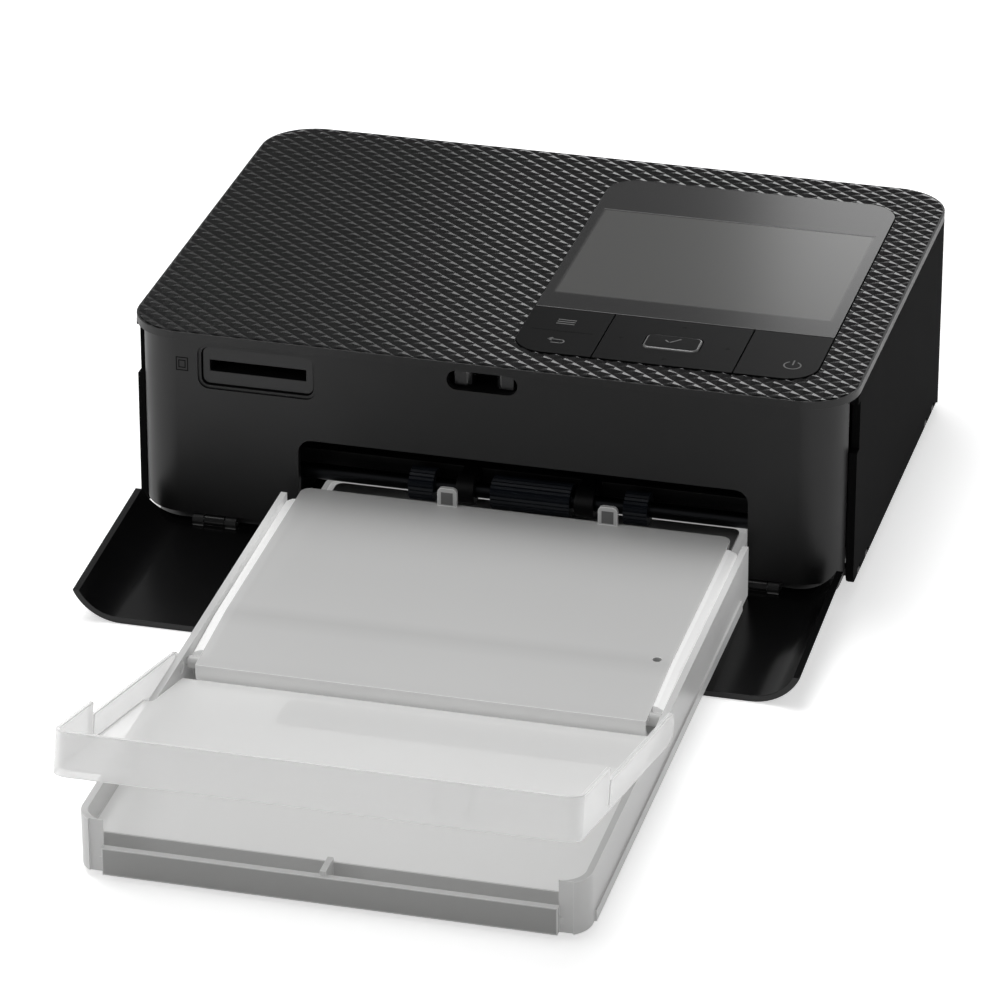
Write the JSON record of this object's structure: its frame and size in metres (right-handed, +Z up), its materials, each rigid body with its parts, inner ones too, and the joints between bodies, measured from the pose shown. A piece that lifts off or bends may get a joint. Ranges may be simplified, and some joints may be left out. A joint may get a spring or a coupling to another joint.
{
  "type": "compact photo printer",
  "caption": "Compact photo printer with a drop-down front cover, a screen with keys, an ink compartment door and a removable translucent paper cassette.",
  "frame": {"origin": "middle of the whole object in plan, on the surface that it stands on, cover open and cassette in", "axes": "+X to the right as seen by the user, +Y from the user to the back, +Z up"},
  "size_m": [0.1822, 0.3114, 0.0579],
  "materials": {
    "body_black": "satin black moulded",
    "top_black": "black with a raised relief",
    "cover_black": "semi-gloss black",
    "gloss_black": "gloss black window",
    "key_black": "gloss black",
    "lcd_glass": "dark display panel",
    "rubber_black": "matt",
    "roller_rubber": "ribbed, blue grey",
    "dark_grey": "moulded dark grey",
    "socket_black": "moulded black",
    "catch_grey": "moulded grey",
    "gear_ivory": "acetal",
    "steel": "zinc plated sheet",
    "motor_steel": "drawn can",
    "steel_pin": "ground",
    "zinc": "zinc plated",
    "brass": "hobbed",
    "head_aluminium": "extruded heatsink",
    "circuit_board": "solder mask green",
    "ink_grey": "moulded grey",
    "ribbon_film": "thin film",
    "tray_grey": "moulded grey",
    "clear_frost": "frosted translucent",
    "clear_gloss": "frosted translucent, smooth plate"
  },
  "bodies": {
    "housing": {"bottom_case": "body_black", "top_cover": "top_black", "front_panel": "body_black", "left_side_panel": "body_black", "rear_panel": "body_black", "rubber_feet": "rubber_black", "case_screws": "zinc", "screen_window": "gloss_black", "lcd_display": "lcd_glass", "control_board": "circuit_board", "main_board": "circuit_board", "card_socket": "socket_black", "catch_housing": "dark_grey", "dc_inlet": "dark_grey", "usb_port": "steel", "front_cover_pins": "steel_pin", "ink_door_pins": "steel_pin", "chassis": "steel", "gear_bracket": "steel", "drive_motor": "motor_steel", "ribbon_motor": "motor_steel", "roller_carrier": "dark_grey", "paper_guide": "dark_grey"},
    "front_cover": {"front_cover": "cover_black"},
    "ink_door": {"ink_door": "body_black"},
    "menu_back_key": {"menu_back_key": "key_black"},
    "direction_key": {"direction_key": "key_black"},
    "ok_button": {"ok_button": "key_black"},
    "power_key": {"power_key": "key_black"},
    "catch_jaw_left": {"catch_jaw_left": "catch_grey"},
    "catch_jaw_right": {"catch_jaw_right": "catch_grey"},
    "capstan": {"capstan_roller": "steel_pin", "capstan_gear": "gear_ivory"},
    "motor_pinion": {"motor_pinion": "brass"},
    "idler_gear": {"idler_gear": "gear_ivory"},
    "pickup": {"pickup_shaft": "steel_pin", "pickup_rollers": "roller_rubber", "pickup_gear": "gear_ivory"},
    "pinch_roller": {"pinch_roller": "roller_rubber"},
    "platen_roller": {"platen_roller": "roller_rubber"},
    "thermal_head": {"thermal_head": "head_aluminium"},
    "ribbon_gear": {"ribbon_gear": "gear_ivory"},
    "ribbon_pinion": {"ribbon_pinion": "brass"},
    "ink_cassette": {"ink_cassette": "ink_grey", "ink_ribbon": "ribbon_film"},
    "supply_spool": {"supply_spool": "dark_grey"},
    "takeup_spool": {"takeup_spool": "dark_grey"},
    "ink_lock_lever": {"ink_lock_lever": "gear_ivory"},
    "paper_cassette": {"cassette_base": "clear_frost"},
    "lift_plate": {"lift_plate": "tray_grey"},
    "inner_cover": {"inner_cover": "clear_frost"},
    "output_cover": {"output_cover": "clear_gloss"}
  },
  "joints": [
    {"name": "paper_cassette_slide", "type": "slide", "parent": "housing", "child": "paper_cassette", "axis": [0, -0.9848, 0.1736], "range_m": [0, 0.4]},
    {"name": "front_cover_hinge", "type": "hinge", "parent": "housing", "child": "front_cover", "pos_m": [0, 0.02473, 0.00545], "axis": [-1, 0, 0], "range_deg": [0, 94]},
    {"name": "ink_cassette_slide", "type": "slide", "parent": "housing", "child": "ink_cassette", "axis": [1, 0, 0], "range_m": [0, 0.042]},
    {"name": "ink_door_hinge", "type": "hinge", "parent": "housing", "child": "ink_door", "pos_m": [0.0901, 0.08773, 0.0049], "axis": [0, 1, 0], "range_deg": [0, 88]},
    {"name": "menu_back_key_rock", "type": "hinge", "parent": "housing", "child": "menu_back_key", "pos_m": [0.01425, 0.04673, 0.056], "axis": [1, 0, 0], "range_deg": [-2.5, 2.5], "stiffness_Nm_per_rad": 0.02},
    {"name": "direction_key_press", "type": "slide", "parent": "housing", "child": "direction_key", "axis": [0, 0, -1], "range_m": [0, 0.0005], "stiffness_N_per_m": 150, "springref_m": -0.0005},
    {"name": "ok_button_press", "type": "slide", "parent": "housing", "child": "ok_button", "axis": [0, 0, -1], "range_m": [0, 0.0005], "stiffness_N_per_m": 150, "springref_m": -0.0005},
    {"name": "power_key_press", "type": "slide", "parent": "housing", "child": "power_key", "axis": [0, 0, -1], "range_m": [0, 0.0005], "stiffness_N_per_m": 150, "springref_m": -0.0005},
    {"name": "catch_jaw_left_slide", "type": "slide", "parent": "housing", "child": "catch_jaw_left", "axis": [-1, 0, 0], "range_m": [0, 0.001], "stiffness_N_per_m": 200, "springref_m": -0.0005},
    {"name": "catch_jaw_right_slide", "type": "slide", "parent": "housing", "child": "catch_jaw_right", "axis": [1, 0, 0], "range_m": [0, 0.001], "stiffness_N_per_m": 200, "springref_m": -0.0005},
    {"name": "capstan_spin", "type": "hinge", "parent": "housing", "child": "capstan", "pos_m": [0, 0.07273, 0.0225], "axis": [1, 0, 0], "continuous": true},
    {"name": "motor_pinion_spin", "type": "hinge", "parent": "housing", "child": "motor_pinion", "pos_m": [-0.057, 0.09193, 0.0225], "axis": [1, 0, 0], "continuous": true},
    {"name": "idler_gear_spin", "type": "hinge", "parent": "housing", "child": "idler_gear", "pos_m": [-0.0555, 0.05159, 0.01509], "axis": [1, 0, 0], "continuous": true},
    {"name": "pickup_spin", "type": "hinge", "parent": "housing", "child": "pickup", "pos_m": [0, 0.03573, 0.0172], "axis": [1, 0, 0], "continuous": true},
    {"name": "pinch_roller_spin", "type": "hinge", "parent": "housing", "child": "pinch_roller", "pos_m": [0, 0.07273, 0.031], "axis": [1, 0, 0], "continuous": true},
    {"name": "platen_roller_spin", "type": "hinge", "parent": "housing", "child": "platen_roller", "pos_m": [0, 0.10673, 0.02], "axis": [1, 0, 0], "continuous": true},
    {"name": "thermal_head_slide", "type": "slide", "parent": "housing", "child": "thermal_head", "axis": [0, 0, -1], "range_m": [0, 0.0025], "stiffness_N_per_m": 300, "springref_m": -0.002},
    {"name": "ribbon_gear_spin", "type": "hinge", "parent": "housing", "child": "ribbon_gear", "pos_m": [-0.0555, 0.12573, 0.0371], "axis": [1, 0, 0], "continuous": true},
    {"name": "ribbon_pinion_spin", "type": "hinge", "parent": "housing", "child": "ribbon_pinion", "pos_m": [-0.057, 0.12573, 0.0203], "axis": [1, 0, 0], "continuous": true},
    {"name": "supply_spool_spin", "type": "hinge", "parent": "ink_cassette", "child": "supply_spool", "pos_m": [0, 0.08773, 0.0371], "axis": [1, 0, 0], "continuous": true},
    {"name": "takeup_spool_spin", "type": "hinge", "parent": "ink_cassette", "child": "takeup_spool", "pos_m": [0, 0.12573, 0.0371], "axis": [1, 0, 0], "continuous": true},
    {"name": "ink_lock_lever_hinge", "type": "hinge", "parent": "housing", "child": "ink_lock_lever", "pos_m": [0.076, 0.10673, 0.0479], "axis": [0, -1, 0], "range_deg": [0, 7]},
    {"name": "lift_plate_hinge", "type": "hinge", "parent": "paper_cassette", "child": "lift_plate", "pos_m": [0.00875, -0.04036, 0.00829], "axis": [1, 0, 0], "range_deg": [0, 1.5]},
    {"name": "inner_cover_hinge", "type": "hinge", "parent": "paper_cassette", "child": "inner_cover", "pos_m": [0.00875, -0.06349, 0.01386], "axis": [1, 0, 0], "range_deg": [0, 100]},
    {"name": "output_cover_hinge", "type": "hinge", "parent": "paper_cassette", "child": "output_cover", "pos_m": [0.00875, -0.06751, 0.01437], "axis": [1, 0, 0], "range_deg": [-154, 0]}
  ],
  "couplings": [
    {"joint": "front_cover_hinge", "follows": "paper_cassette_slide", "rad_per_m": 4.1011},
    {"joint": "ink_door_hinge", "follows": "ink_cassette_slide", "rad_per_m": 36.565},
    {"joint": "motor_pinion_spin", "follows": "capstan_spin", "ratio": -3},
    {"joint": "idler_gear_spin", "follows": "capstan_spin", "ratio": -1.8},
    {"joint": "pickup_spin", "follows": "capstan_spin", "ratio": 1.8},
    {"joint": "ribbon_pinion_spin", "follows": "ribbon_gear_spin", "ratio": -2.5},
    {"joint": "takeup_spool_spin", "follows": "ribbon_gear_spin", "ratio": 1}
  ]
}
